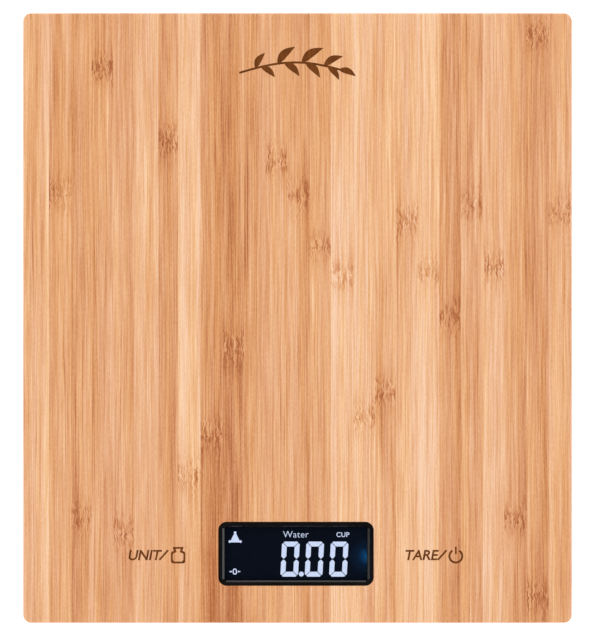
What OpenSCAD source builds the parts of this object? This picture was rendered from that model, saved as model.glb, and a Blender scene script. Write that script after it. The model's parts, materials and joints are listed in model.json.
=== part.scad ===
// Slim electronic kitchen scale: a laminated bamboo board on a moulded base,
// carried by four strain-gauge feet, with a backlit display let into the board.
// The front of the scale, with the display, faces -Y. The feet stand on z = 0.

/* [Board] */
// Width of the bamboo board
board_w = 180; // [170:1:200]
// Depth of the bamboo board
board_d = 200; // [190:1:220]
// Thickness of the bamboo board
board_t = 5; // [4.6:0.1:7]
// Corner radius of the board, seen from above
board_r = 2.5; // [2:0.5:12]
// Width of the softened top edge
board_edge = 0.7; // [0.3:0.1:1]

/* [Base] */
// Height of the moulded base, without the feet
base_h = 12; // [12:0.5:16]
// How far the base stands in from the board's edge, at the top
base_inset = 4; // [3:0.5:6]
// How far the base's sides slope in, from top to bottom
base_slope = 7; // [4:0.5:7]
// Thickness of the base's floor
floor_t = 1.8; // [1.6:0.1:2.2]
// Thickness of the base's side walls
wall_t = 2; // [1.6:0.1:2.2]

/* [Feet] */
// Distance between the feet, left to right
feet_dx = 130; // [126:1:130]
// Distance between the feet, front to back
feet_dy = 150; // [146:1:150]
// Gap between the base's floor and the table
foot_drop = 2; // [1.6:0.1:2.4]
// How far a foot rises at full load
foot_travel = 0.6; // [0.4:0.1:0.6]

/* [Display] */
// Width of the display frame
frame_w = 50.8; // [50.8:0.1:56]
// Height of the display frame, front to back
frame_d = 20.8; // [20.8:0.1:24]
// Distance from the board's front edge to the display's centre
display_in = 22.7; // [22:0.1:26]
// How far the display's centre stands to the right of the board's middle
display_x = -0.5; // [-1:0.1:1]

/* [Hidden] */
$fn = 64;
// How far a cut runs past the face it cuts
over = 1;

// Heights of the main faces
base_z = foot_drop;
floor_z = base_z + floor_t;
rim_z = base_z + base_h;
top_z = rim_z + board_t;
// Width of the bevel around the board's underside
lower_edge = 0.4;

// Outline of the base at its floor and at its rim
rim_w = board_w - 2 * base_inset;
rim_d = board_d - 2 * base_inset;
base_w = rim_w - 2 * base_slope;
base_d = rim_d - 2 * base_slope;
base_r = 8;
shoulder_z = rim_z - 4;

// Fixings: [x, y] of the screws that hold the base to the board
base_screw_at = [[-73, 30], [73, 30], [-73, -30], [73, -30], [0, rim_d / 2 - 12], [0, -57]];
base_boss_r = 4.6;
base_hole_r = 1.7;
screw_r = 1.5;
screw_head_r = 2.8;
screw_head_h = 1.8;
head_recess_r = 3.2;
head_seat_z = 5.2;
screw_bite = 3.4;
// How much wider in radius a pilot hole is than its screw
pilot_fit = 0.02;

// Battery bay, for two cells of 44.5 x 10.5 mm side by side, one facing each way
bay_y = 22;
bay_l = 51;
bay_w = 23;
// How much longer and wider the room in the board above the bay is
bay_room = 6;
bay_wall = 1.5;
bay_top = rim_z + 1.5;
bay_block = 4;
bay_block_z = 7.2;
cell_r = 5.2;
cell_l = 43.5;
nub_r = 1.9;
nub_l = 1;
cell_z = 9.35;
cell_dy = 5.6;
contact_t = 0.4;
dimple_h = 0.6;
spring_wire_r = 0.3;

// Battery door: it hooks in at the back and turns about its rear bottom edge
door_l = 54.6;
door_w = 26.6;
door_t = 1.35;
door_gap = 0.2;
hook_w = 5;
hook_dx = 18;
hook_reach = 2.3;
latch_w = 11;

// Display stack, from the board's top downwards, about its own centre
display_y = -board_d / 2 + display_in;
frame_top = top_z - 0.1;
frame_r = 2.7;
window_gap = 0.1;
gasket_t = 0.4;
flange_z = rim_z - gasket_t;
flange_t = 1.4;
flange_w = 68;
flange_d = 26;
lens_w = frame_w - 3.8;
lens_d = frame_d - 3.1;
lens_t = 1;
lens_z = frame_top - 1.5;
view_w = lens_w - 0.5;
view_d = lens_d - 0.5;
ledge_t = 0.6;
// Widths of the slopes that lead down to the lens: front, rear and the two sides
slope_front = 0.75;
slope_rear = 0.3;
slope_side = 0.65;
slope_drop = 0.4;
glass_w = 48;
glass_d = 18;
glass_t = 0.8;
front_glass_z = lens_z - ledge_t - glass_t;
rear_glass_z = front_glass_z - glass_t;
contact_ledge = 2.6;
guide_t = 2;
guide_z = rear_glass_z - guide_t;
led_l = 1.5;
ink_t = 0.06;

// Circuit board, hung under the display frame
pcb_w = 94;
pcb_d = 24;
pcb_t = 1.6;
pcb_top = flange_z - flange_t - 1;
pcb_z = pcb_top - pcb_t;
display_screw_at = [[-31, -9.5], [31, -9.5], [-31, 9.5], [31, 9.5]];
display_screw_r = 0.95;
touch_dx = 42;
touch_spring_r = 4;
touch_wire_r = 0.25;

// Feet and load cells
foot_hole_r = 11;
cup_r = 10.5;
cup_flange_r = 12;
cup_z = 1;
pad_r = 9;
pad_t = 1.8;
plunger_r = 3;
gauge_z = 7.6;
gauge_t = 1.2;
gauge_side = 24;
tongue_w = 7.4;
tongue_l = 14.5;
slot_w = 0.6;
bracket_side = 28;
bracket_screw_dx = 8;
bracket_ear_r = 3.4;
bracket_ear_y = bracket_side / 2 + 3.4;
bracket_screw_r = 1.1;

// Corner signs [x, y] of each foot, by its place
FRONT_LEFT = [-1, -1];
FRONT_RIGHT = [1, -1];
REAR_LEFT = [-1, 1];
REAR_RIGHT = [1, 1];
CORNERS = [FRONT_LEFT, FRONT_RIGHT, REAR_LEFT, REAR_RIGHT];

// Wire routes for one corner, as [x, y, z] for the right-hand side, mirrored for the left.
// They run from the gauge, through the bracket's slot and over the floor, to the circuit board.
WIRE_R = 0.45;
WIRE_PITCH = 1.1;
REAR_ROUTE = [
    [56, 75, 9.3], [51, 75, 9.8], [47, 74, 8.3], [43.4, 71, 5.8], [41, 66, 4.6], [40, 58, 4.4],
    [40, 40, 4.4], [40, 20, 4.4], [40, 0, 4.4], [40, -20, 4.4], [40, -40, 4.4], [39.2, -52, 4.5],
    [37.5, -59, 5.4], [36.3, -64, 7.2], [36, -66.5, 8.5], [36, -66.9, 9.46]
];
FRONT_ROUTE = [
    [56, -75, 9.3], [52.6, -75, 10], [50.2, -74.9, 9.3], [48.6, -74.4, 7.2], [46.4, -73.4, 5.8],
    [43.6, -71.8, 5.8], [41.5, -70.7, 7.4], [40.9, -70.3, 9.44]
];
// The battery leads, counted from the contacts' tags
LEAD_ROUTE = [
    [28.2, 0, 0], [29.8, -0.8, -0.6], [31, -3.5, -3.2], [31.5, -8, -4.3], [31.5, -20, -4.35],
    [31.5, -40, -4.35], [31.5, -60, -4.35], [31, -74, -4.3], [29.5, -81, -3.6],
    [27.5, -86, -1.8], [26.6, -88.6, -0.2], [26.5, -89, 0.28]
];

// ---------- shared shapes ----------

// A rectangle with round corners, centred
module rounded_rect(w, d, r) {
    square([w - 2 * r, d], center = true);
    square([w, d - 2 * r], center = true);
    for (x = [-1, 1], y = [-1, 1])
        translate([x * (w / 2 - r), y * (d / 2 - r)]) circle(r);
}

module rounded_slab(w, d, r, z0, z1) {
    translate([0, 0, z0]) linear_extrude(z1 - z0) rounded_rect(w, d, r);
}

module block(w, d, z0, z1) {
    translate([-w / 2, -d / 2, z0]) cube([w, d, z1 - z0]);
}

module rod(r, z0, z1) {
    translate([0, 0, z0]) cylinder(r = r, h = z1 - z0);
}

module at_corner(c) {
    translate([c[0] * feet_dx / 2, c[1] * feet_dy / 2, 0])
        mirror([c[0] < 0 ? 1 : 0, 0, 0])
            mirror([0, c[1] < 0 ? 1 : 0, 0])
                children();
}

// ---------- wires and springs ----------

function blend4(p, q, r, s, t) =
    0.5 * (2 * q + (r - p) * t + (2 * p - 5 * q + 4 * r - s) * t * t + (3 * q - p - 3 * r + s) * t * t * t);

// A smooth curve through the points, with a few steps between each pair
function smooth(pts, steps) = [
    for (i = [0:len(pts) - 2], k = [0:steps - 1])
        blend4(pts[max(i - 1, 0)], pts[i], pts[i + 1], pts[min(i + 2, len(pts) - 1)], k / steps),
    pts[len(pts) - 1]
];

function unit(v) = v / norm(v);

// The direction of a path at one of its points
function heading(path, i) = unit(path[min(i + 1, len(path) - 1)] - path[max(i - 1, 0)]);

// Two directions square to a heading, kept level so that the rings don't twist
function side_of(h) = abs(h[2]) > 0.99 ? [1, 0, 0] : unit(cross(h, [0, 0, 1]));

function ring(path, i, r, sides) = let (h = heading(path, i), a = side_of(h), b = cross(a, h))
    [for (k = [0:sides - 1]) path[i] + r * (cos(360 * k / sides) * a + sin(360 * k / sides) * b)];

// A tube of radius r along a path
module tube(path, r, sides) {
    n = len(path);
    points = [for (i = [0:n - 1]) each ring(path, i, r, sides)];
    walls = [
        for (i = [0:n - 2], k = [0:sides - 1]) let (m = (k + 1) % sides)
            [i * sides + k, i * sides + m, (i + 1) * sides + m, (i + 1) * sides + k]
    ];
    first = [for (k = [sides - 1:-1:0]) k];
    last = [for (k = [0:sides - 1]) (n - 1) * sides + k];
    polyhedron(points, concat([first], walls, [last]), convexity = 10);
}

// A coil about +Z whose radius runs from r0 to r1 over its height
function coil(r0, r1, h, turns, steps) = [
    for (i = [0:turns * steps]) let (t = i / (turns * steps), a = 360 * i / steps)
        [(r0 + (r1 - r0) * t) * cos(a), (r0 + (r1 - r0) * t) * sin(a), h * t]
];

// ---------- board ----------

module bamboo_board() {
    color("burlywood") difference() {
        hull() {
            rounded_slab(board_w - 2 * lower_edge, board_d - 2 * lower_edge, board_r - lower_edge,
                rim_z, rim_z + 0.1);
            rounded_slab(board_w, board_d, board_r, rim_z + lower_edge, top_z - board_edge);
            rounded_slab(board_w - board_edge, board_d - board_edge, board_r - board_edge / 2,
                rim_z + 1, top_z - 0.2 * board_edge);
            rounded_slab(board_w - 2 * board_edge, board_d - 2 * board_edge, board_r - board_edge,
                rim_z + 1, top_z);
        }
        at_display()
            rounded_slab(frame_w + 2 * window_gap, frame_d + 2 * window_gap, frame_r + window_gap,
                rim_z - over, top_z + over);
        translate([0, bay_y, 0])
            rounded_slab(bay_l + bay_room, bay_w + bay_room, bay_room / 2, rim_z - over, bay_top + 0.2);
        for (p = base_screw_at)
            translate([p[0], p[1], 0]) rod(screw_r + pilot_fit, rim_z - over, rim_z + screw_bite + 0.2);
        for (c = CORNERS)
            at_corner(c) bracket_screw_places() rod(bracket_screw_r + pilot_fit, rim_z - over, rim_z + 3.2);
    }
}

// ---------- base ----------

module base_outline(grow, low, high) {
    hull() {
        rounded_slab(base_w + 2 * grow, base_d + 2 * grow, base_r + grow, low, low + 0.1);
        rounded_slab(rim_w + 2 * grow, rim_d + 2 * grow, base_r + grow, shoulder_z, high);
    }
}

module base_ribs() {
    rib_t = 1.2;
    rib_top = floor_z + 2;
    for (y = [-44, -20, 50, 66])
        translate([0, y, 0]) block(58, rib_t, base_z + 1, rib_top);
    for (x = [-18, 18])
        translate([x, -25, 0]) block(rib_t, 60, base_z + 1, rib_top);
    for (x = [-62, 62], y = [-44, -15, 15, 44])
        translate([x, y, 0]) block(34, rib_t, base_z + 1, rib_top);
    for (x = [-50, 50])
        translate([x, 0, 0]) block(rib_t, 88, base_z + 1, rib_top);
}

// Pairs of small posts that keep the wires in their lane over the floor
module wire_posts() {
    for (s = [-1, 1], y = [-35, -5, 48])
        for (dx = [-2.6, 2.6])
            translate([s * 40 + dx, y, 0]) rod(0.7, base_z + 1, floor_z + 3);
}

module bay_walls() {
    translate([0, bay_y, 0]) {
        rounded_slab(bay_l + 2 * bay_wall, bay_w + 2 * bay_wall, 2, base_z, bay_top);
        rounded_slab(bay_l + 2 * bay_block, bay_w + 2 * bay_block, 3, base_z, bay_block_z);
    }
}

module bay_hollow() {
    translate([0, bay_y, 0]) {
        block(bay_l, bay_w, base_z - over, bay_top - 0.8);
        block(door_l + 2 * door_gap, door_w + 2 * door_gap, base_z - over, base_z + door_t + 0.05);
        // Slots that the door's hooks turn in
        for (x = [-hook_dx, hook_dx]) {
            translate([x, door_w / 2 + 0.8, 0]) block(hook_w + 0.6, 4.4, floor_z - 0.02, 6.4);
            translate([x, door_w / 2 - 1.6, 0]) block(hook_w + 0.6, 3.2, base_z + 1, 6.4);
        }
        // Room for the latch behind the front edge, and the pocket its catch springs into
        translate([0, -door_w / 2 + 1.6, 0]) block(latch_w + 1, 3.6, base_z + 1, 6.6);
        translate([0, -door_w / 2 - 0.4, 0]) block(latch_w - 2, 1.2, 4.5, 5.9);
        // Ways out for the two leads
        for (y = [-cell_dy, cell_dy])
            translate([bay_l / 2 + 1.5, y, 0]) block(9, 1.2, 8.2, 9.4);
    }
}

// A dished finger notch in front of the door's latch
module finger_notch() {
    translate([0, bay_y - door_w / 2 - 1, base_z]) rod(6, -over, 0.9);
}

module base_shell() {
    color([0.13, 0.13, 0.14]) difference() {
        union() {
            difference() {
                base_outline(0, base_z, rim_z);
                base_outline(-wall_t, floor_z, rim_z + over);
            }
            bay_walls();
            base_ribs();
            wire_posts();
            for (p = base_screw_at)
                translate([p[0], p[1], 0]) rod(base_boss_r, base_z + 1, rim_z);
        }
        bay_hollow();
        finger_notch();
        for (p = base_screw_at)
            translate([p[0], p[1], 0]) {
                rod(base_hole_r, base_z - over, rim_z + over);
                rod(head_recess_r, base_z - over, head_seat_z);
            }
        for (c = CORNERS)
            at_corner(c) rod(foot_hole_r, base_z - over, floor_z + over);
        // Plain sunken panel on the underside
        translate([0, -36, 0]) rounded_slab(62, 26, 2, base_z - over, base_z + 0.3);
    }
}

// ---------- battery door ----------

module door_hook() {
    root = 1.1;
    translate([0, -root, base_z + door_t - 0.1]) block_from(hook_w, root, 1.7);
    translate([0, -root, floor_z + 0.05]) block_from(hook_w, root + hook_reach, 1.15);
}

module block_from(w, d, h) {
    translate([-w / 2, 0, 0]) cube([w, d, h]);
}

// The latch: a finger tab on a folded spring arm, moulded in one with the door.
// It is drawn pressed back, with its catch just clear of the base's pocket.
module door_latch() {
    arm_t = 0.8;
    back = -door_w / 2 + 1.9;
    front = -door_w / 2 + 0.4;
    low = base_z + door_t - 0.1;
    translate([-latch_w / 2, back, low]) cube([latch_w, arm_t, 2.85]);
    translate([-latch_w / 2, front, low + 2.05]) cube([latch_w, back + arm_t - front, arm_t]);
    translate([-latch_w / 2, front, low]) cube([latch_w, arm_t, 2.2]);
    translate([-latch_w / 2 + 2, front, 4.9]) rotate([90, 0, 90]) linear_extrude(latch_w - 4)
        polygon([[0.2, -0.5], [-0.32, 0], [-0.32, 0.3], [0.2, 0.6]]);
}

module battery_door() {
    color([0.13, 0.13, 0.14]) translate([0, bay_y, 0]) difference() {
        union() {
            block(door_l, door_w, base_z, base_z + door_t);
            for (x = [-hook_dx, hook_dx])
                translate([x, door_w / 2, 0]) door_hook();
            door_latch();
            // Two low ribs that keep the cells from rattling
            for (y = [-cell_dy, cell_dy])
                translate([0, y, 0]) block(30, 1, base_z + door_t - 0.1, cell_z - cell_r - 0.05);
        }
        // Grip grooves beside the latch, and the slit that frees its tab
        for (k = [0:3])
            translate([0, -door_w / 2 + 4.4 + 1.6 * k, 0])
                block(14 - 2.4 * k, 0.7, base_z - over, base_z + 0.4);
        translate([0, -door_w / 2 + 1.65, 0]) block(latch_w + 1.2, 0.5, base_z - over, base_z + door_t + 2);
        for (x = [-1, 1])
            translate([x * (latch_w / 2 + 0.35), -door_w / 2, 0]) block(0.5, 3.8, base_z - over, floor_z);
    }
}

// ---------- batteries ----------

// One cell along +X with its nub towards +X, from its flat end at x = 0
module cell() {
    rotate([0, 90, 0]) rotate_extrude() polygon([
        [0, 0.2], [3.2, 0.2], [3.4, 0], [cell_r - 0.5, 0], [cell_r, 0.5],
        [cell_r, cell_l - 0.7], [cell_r - 0.6, cell_l - 0.1], [nub_r + 1.2, cell_l - 0.1],
        [nub_r + 0.3, cell_l], [nub_r, cell_l + 0.2], [nub_r, cell_l + nub_l - 0.15],
        [nub_r - 0.15, cell_l + nub_l], [0, cell_l + nub_l]
    ]);
}

module at_bay(row) {
    translate([0, bay_y + row * cell_dy, cell_z]) rotate([0, 0, row > 0 ? 0 : 180]) children();
}

// The nub touches the dimple of the contact at the bay's end
cell_x0 = bay_l / 2 - contact_t - dimple_h - nub_l - cell_l;

module battery_cell_rear() {
    color([0.16, 0.36, 0.22]) at_bay(1) translate([cell_x0, 0, 0]) cell();
}

module battery_cell_front() {
    color([0.16, 0.36, 0.22]) at_bay(-1) translate([cell_x0, 0, 0]) cell();
}

module contact_plate(span) {
    translate([-bay_l / 2, -span / 2, -4.6]) cube([contact_t, span, 9.2]);
}

module contact_spring() {
    spring_h = cell_x0 + bay_l / 2 - contact_t;
    translate([-bay_l / 2 + contact_t - 0.1, 0, 0]) rotate([0, 90, 0])
        tube(coil(3.9, 2.2, spring_h - spring_wire_r + 0.05, 3.5, 18), spring_wire_r, 6);
}

module contact_dimple() {
    translate([-bay_l / 2 + contact_t - 0.05, 0, 0]) rotate([0, 90, 0])
        cylinder(r1 = 2, r2 = 1.2, h = dimple_h + 0.05);
}

module battery_bridge_contact() {
    color("silver") {
        at_bay(1) contact_plate(9.2);
        translate([-bay_l / 2, bay_y - 2, cell_z - 2]) cube([contact_t, 4, 4]);
        at_bay(1) contact_spring();
        at_bay(-1) rotate([0, 0, 180]) {
            contact_plate(9.2);
            contact_dimple();
        }
    }
}

// A solder tag that passes through the bay's end wall
module contact_tag() {
    translate([-bay_l / 2 - 2.6, -0.5, -1]) cube([2.7, 1, 1]);
}

module battery_positive_contact() {
    color("silver") at_bay(1) rotate([0, 0, 180]) {
        contact_plate(9.2);
        contact_dimple();
        contact_tag();
    }
}

module battery_negative_contact() {
    color("silver") at_bay(-1) {
        contact_plate(9.2);
        contact_spring();
        contact_tag();
    }
}

// Two leads, from the contacts' tags to the circuit board
module battery_leads() {
    color("firebrick") for (row = [-1, 1])
        tube(smooth([for (p = LEAD_ROUTE) lead_point(p, row)], 3), 0.5, 6);
}

// The two leads start a cell's pitch apart and run side by side from 8 mm on
function lead_point(p, row) = [
    p[0] + 0.6 * (row + 1),
    bay_y + row * cell_dy * max(0, 1 + p[1] / 8) + p[1],
    cell_z - 0.6 + p[2]
];

// ---------- display ----------

module at_display() {
    translate([display_x, display_y, 0]) children();
}

// One sloping cut along +X, its low edge on the x axis, rising towards -Y
module slope_cut(length, wide) {
    rise = slope_drop + 0.05;
    translate([-length / 2, 0, 0]) rotate([90, 0, 90]) linear_extrude(length)
        polygon([[over, 0], [0, 0], [-wide, slope_drop], [-wide, rise], [over, rise]]);
}

module lens_slopes() {
    low = frame_top - slope_drop;
    translate([0, -lens_d / 2, low]) slope_cut(lens_w - 1, slope_front);
    translate([0, lens_d / 2, low]) rotate([0, 0, 180]) slope_cut(lens_w - 1, slope_rear);
    for (s = [-1, 1])
        translate([s * lens_w / 2, 0, low]) rotate([0, 0, s * 90]) slope_cut(lens_d - 1, slope_side);
}

module display_frame() {
    color([0.05, 0.05, 0.06]) at_display() difference() {
        union() {
            rounded_slab(frame_w, frame_d, frame_r, flange_z - 0.1, frame_top);
            rounded_slab(flange_w, flange_d, 3, flange_z - flange_t, flange_z);
            for (p = display_screw_at)
                translate([p[0], p[1], 0]) rod(2.5, pcb_top, flange_z - 0.1);
        }
        rounded_slab(lens_w, lens_d, 0.6, lens_z, frame_top + over);
        lens_slopes();
        block(view_w, view_d, lens_z - over, lens_z + over);
        block(glass_w + 0.2, glass_d + 0.2, flange_z - flange_t - over, lens_z - ledge_t);
        for (p = display_screw_at)
            translate([p[0], p[1], 0]) rod(display_screw_r + pilot_fit, pcb_top - over, flange_z - 0.2);
    }
}

module display_gasket() {
    color([0.2, 0.2, 0.2]) at_display() difference() {
        rounded_slab(56, 26, 2, flange_z, rim_z);
        rounded_slab(frame_w + 0.4, frame_d + 0.4, frame_r + 0.2, flange_z - over, rim_z + over);
    }
}

module display_lens() {
    color([0.02, 0.03, 0.05, 0.4]) at_display()
        rounded_slab(lens_w - 0.1, lens_d - 0.1, 0.55, lens_z, lens_z + lens_t);
}

module lcd_front_glass() {
    color([0.02, 0.04, 0.08]) at_display()
        block(glass_w, glass_d, front_glass_z, front_glass_z + glass_t);
}

module lcd_rear_glass() {
    color([0.05, 0.08, 0.12]) at_display()
        translate([0, contact_ledge / 2, 0])
            block(glass_w, glass_d - contact_ledge, rear_glass_z, front_glass_z);
}

module light_guide() {
    color("white") at_display() difference() {
        translate([0, contact_ledge / 2, 0])
            block(glass_w - 0.6, glass_d - contact_ledge - 0.4, guide_z, rear_glass_z);
        translate([glass_w / 2 - 1.2, 0, 0]) block(2.2, 2 * led_l + 0.2, guide_z - over, rear_glass_z + over);
    }
}

module backlight_led() {
    color([0.7, 0.85, 1]) at_display()
        translate([glass_w / 2 - 1.1, 0, 0]) block(1.4, 2 * led_l, guide_z, rear_glass_z - 0.4);
}

module lcd_holder() {
    color([0.9, 0.9, 0.88]) at_display() difference() {
        union() {
            block(54, 23, pcb_top, flange_z - flange_t);
            block(glass_w - 0.2, glass_d - 0.2, flange_z - flange_t - 0.1, guide_z);
        }
        translate([0, -glass_d / 2 + 1.1, 0]) block(glass_w - 2.8, 2.2, pcb_top - over, guide_z + over);
    }
}

module zebra_strip() {
    color([0.85, 0.6, 0.6]) at_display()
        translate([0, -glass_d / 2 + 1.1, 0]) block(glass_w - 4, 1.7, pcb_top, front_glass_z);
}

// Lit marks of the display: three leaning seven-segment digits, a point and two small signs
digit_hh = 5.75;
digit_hw = 2.9;
bar_t = 1.6;
corner_cut = 0.85;
mitre = 0.14;
middle_gap = 0.22;
digit_lean = 3;
digit_pitch = 8;
first_digit = [-1.95, -1.9];

function lean(points, sx, sy) = [for (p = points) [sx * p[0] + sy * p[1] * tan(digit_lean), sy * p[1]]];

// Right-hand half of a level bar, as far as its mitred end, and the mirror of it
module level_bar(up) {
    end = [
        [digit_hw - corner_cut, digit_hh],
        [digit_hw - (corner_cut + mitre) / 2, digit_hh - (corner_cut - mitre) / 2],
        [digit_hw - bar_t - mitre, digit_hh - bar_t]
    ];
    polygon(lean(concat(end, [for (k = [2:-1:0]) [-end[k][0], end[k][1]]]), 1, up));
}

module upright_bar(side, up) {
    polygon(lean([
        [digit_hw - (corner_cut - mitre) / 2, digit_hh - (corner_cut + mitre) / 2],
        [digit_hw, digit_hh - corner_cut],
        [digit_hw, middle_gap + 0.7],
        [digit_hw - bar_t / 2 + 0.15, middle_gap],
        [digit_hw - bar_t / 2 - 0.15, middle_gap],
        [digit_hw - bar_t, middle_gap + 0.7],
        [digit_hw - bar_t, digit_hh - bar_t - mitre]
    ], side, up));
}

module zero_digit() {
    for (up = [-1, 1]) {
        level_bar(up);
        for (side = [-1, 1]) upright_bar(side, up);
    }
}

// The sign that shows a steady reading: a hollow-sided triangle with round tips
module steady_sign() {
    polygon([[-0.22, 1.5], [-1.45, -1.05], [-1.7, -1.6], [1.7, -1.6], [1.45, -1.05], [0.22, 1.5]]);
    for (t = [[0, 1.6], [-1.75, -1.33], [1.75, -1.33]]) translate(t) circle(0.42, $fn = 24);
}

// The sign that shows a zeroed reading: a small ring between two pointed dashes
module zero_sign() {
    difference() {
        rounded_rect(1.4, 2, 0.68);
        rounded_rect(0.7, 1.3, 0.33);
    }
    for (s = [-1, 1])
        polygon([[s * 1, 0.22], [s * 1.25, 0.26], [s * 1.95, 0], [s * 1.25, -0.26], [s * 1, -0.22]]);
}

module display_segments() {
    color([0.78, 0.84, 1]) at_display() translate([0, 0, front_glass_z + glass_t]) linear_extrude(ink_t) {
        for (k = [0:2])
            translate([first_digit[0] + k * digit_pitch, first_digit[1]]) zero_digit();
        translate([1.75, -6.8]) circle(0.8, $fn = 32);
        translate([-20, 5.2]) steady_sign();
        translate([-20.1, -6]) zero_sign();
    }
}

// ---------- circuit board ----------

module main_board() {
    color([0.05, 0.35, 0.16]) at_display() difference() {
        rounded_slab(pcb_w, pcb_d, 1.5, pcb_z, pcb_top);
        for (p = display_screw_at)
            translate([p[0], p[1], 0]) rod(display_screw_r + 0.15, pcb_z - over, pcb_top + over);
    }
}

// The controller under its drop of black resin
module controller_chip() {
    color([0.06, 0.06, 0.06]) at_display() translate([-8, 0, pcb_z]) mirror([0, 0, 1])
        rotate_extrude() polygon([[0, 0], [6, 0], [5.7, 0.4], [5, 0.8], [3.6, 1.15], [1.8, 1.32], [0, 1.36]]);
}

// The weighing converter, a small flat pack with its legs
module converter_chip() {
    color([0.1, 0.1, 0.1]) at_display() translate([14, 2, 0]) {
        block(9, 3.9, pcb_z - 1.5, pcb_z - 0.15);
        for (k = [-3:3], s = [-1, 1])
            translate([k * 1.27, s * 2.3, 0]) block(0.4, 1.2, pcb_z - 0.7, pcb_z);
    }
}

module small_part(x, y, w, d, h) {
    translate([x, y, 0]) block(w, d, pcb_z - h, pcb_z);
}

module board_components() {
    color([0.75, 0.68, 0.55]) at_display() {
        for (k = [0:4]) small_part(2 + 2.6 * k, -7, 1.6, 0.8, 0.5);
        for (k = [0:3]) small_part(2 + 3 * k, 8.2, 2, 1.25, 0.8);
        for (k = [0:2]) small_part(-22, -6 + 4 * k, 0.8, 1.6, 0.5);
        small_part(-22, 9, 5, 2, 1.2);
        small_part(24, 2, 2.9, 1.3, 1);
        translate([-17.5, -7.5, 0]) rod(1.8, pcb_z - 3.4, pcb_z);
    }
}

module touch_spring(s) {
    height = rim_z - pcb_top;
    translate([s * touch_dx, display_y, pcb_top + touch_wire_r])
        tube(coil(touch_spring_r, touch_spring_r, height - 2 * touch_wire_r - 0.05, 3, 20), touch_wire_r, 6);
}

module unit_touch_spring() {
    color("silver") touch_spring(-1);
}

module tare_touch_spring() {
    color("silver") touch_spring(1);
}

// ---------- feet and load cells ----------
// Each is drawn about its own foot's axis, for the rear right corner, and mirrored to the others.

module foot_pad(c) {
    color([0.2, 0.2, 0.2]) at_corner(c) rotate_extrude() difference() {
        polygon([
            [0, 0], [pad_r - 0.6, 0], [pad_r - 0.2, 0.2], [pad_r, 0.6], [pad_r, pad_t], [0, pad_t]
        ]);
        translate([5.6, 0]) circle(0.3, $fn = 24);
    }
}

module foot_cup(c) {
    color([0.13, 0.13, 0.14]) at_corner(c) difference() {
        union() {
            rotate_extrude() polygon([
                [0, pad_t], [pad_r + 0.05, pad_t], [pad_r + 0.05, cup_z + 0.1], [cup_r - 0.4, cup_z],
                [cup_r, cup_z + 0.4], [cup_r, floor_z + foot_travel], [cup_flange_r, floor_z + foot_travel],
                [cup_flange_r, floor_z + 1.6], [plunger_r + 0.6, floor_z + 1.6],
                [plunger_r, floor_z + 2.2], [plunger_r, gauge_z], [0, gauge_z]
            ]);
        }
        // Lightening ring around the plunger
        difference() {
            rod(8.6, pad_t + 1, floor_z + 3);
            rod(5, pad_t, floor_z + 4);
        }
    }
}

// A load cell's tongue; grown, it is the cut-out that frees it, with only a hairline left at its root
module tongue_shape(grow) {
    translate([-tongue_w / 2 - grow, -tongue_l / 2 - grow])
        square([tongue_w + 2 * grow, tongue_l + grow + min(grow, 0.05)]);
}

module gauge_tongue(c) {
    color([0.72, 0.73, 0.75]) at_corner(c) {
        translate([0, 0, gauge_z]) linear_extrude(gauge_t) tongue_shape(0);
        // Strain gauge under its drop of sealant
        translate([0, 3, gauge_z + gauge_t]) intersection() {
            translate([0, 0, -6.4]) sphere(r = 7);
            block(6, 7, -0.1, 2);
        }
    }
}

module load_cell(c) {
    color([0.72, 0.73, 0.75]) at_corner(c) translate([0, 0, gauge_z]) difference() {
        linear_extrude(gauge_t) rounded_rect(gauge_side, gauge_side, 1.5);
        translate([0, 0, -over]) linear_extrude(gauge_t + 2 * over) tongue_shape(slot_w);
        for (s = [-1, 1]) {
            translate([s * 7.6, 0, 0]) block(1.2, 17, -over, gauge_t + over);
            for (y = [-10, 10])
                translate([s * 10, y, 0]) rod(0.9, -over, gauge_t + over);
        }
    }
}

module bracket_screw_places() {
    for (s = [-1, 1])
        translate([s * bracket_screw_dx, -bracket_ear_y, 0]) children();
}

module cell_bracket(c) {
    roof_z = rim_z - 2;
    hollow = 20;
    color([0.85, 0.85, 0.83]) at_corner(c) difference() {
        union() {
            rounded_slab(bracket_side, bracket_side, 2, gauge_z, rim_z);
            bracket_screw_places() {
                rod(bracket_ear_r, rim_z - 3, rim_z);
                translate([0, bracket_ear_r / 2 + 0.6, 0])
                    block(2 * bracket_ear_r, bracket_ear_r + 1, rim_z - 3, rim_z);
            }
        }
        rounded_slab(gauge_side + 0.1, gauge_side + 0.1, 1.5, gauge_z - over, gauge_z + gauge_t);
        rounded_slab(hollow, hollow, 1, gauge_z, roof_z);
        bracket_screw_places() rod(bracket_screw_r + 0.15, rim_z - 4, rim_z + over);
        // Slot for the wires, towards the scale's middle
        translate([-bracket_side / 2, 0, 0]) block(10, 4.6, gauge_z + gauge_t, gauge_z + gauge_t + 2.6);
    }
}

module gauge_wires(c) {
    route = c[1] > 0 ? REAR_ROUTE : FRONT_ROUTE;
    color([0.8, 0.2, 0.15]) for (k = [-1, 0, 1])
        mirror([c[0] < 0 ? 1 : 0, 0, 0])
            tube(smooth([for (i = [0:len(route) - 1]) wire_point(route, i, k)], 2), WIRE_R, 6);
}

// A route's point, moved sideways for the wire's place in its flat bundle
function wire_point(route, i, k) = let (h = heading(route, i), a = side_of([h[0], h[1], 0.001]))
    route[i] + k * WIRE_PITCH * a;

// ---------- fasteners ----------

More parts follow.
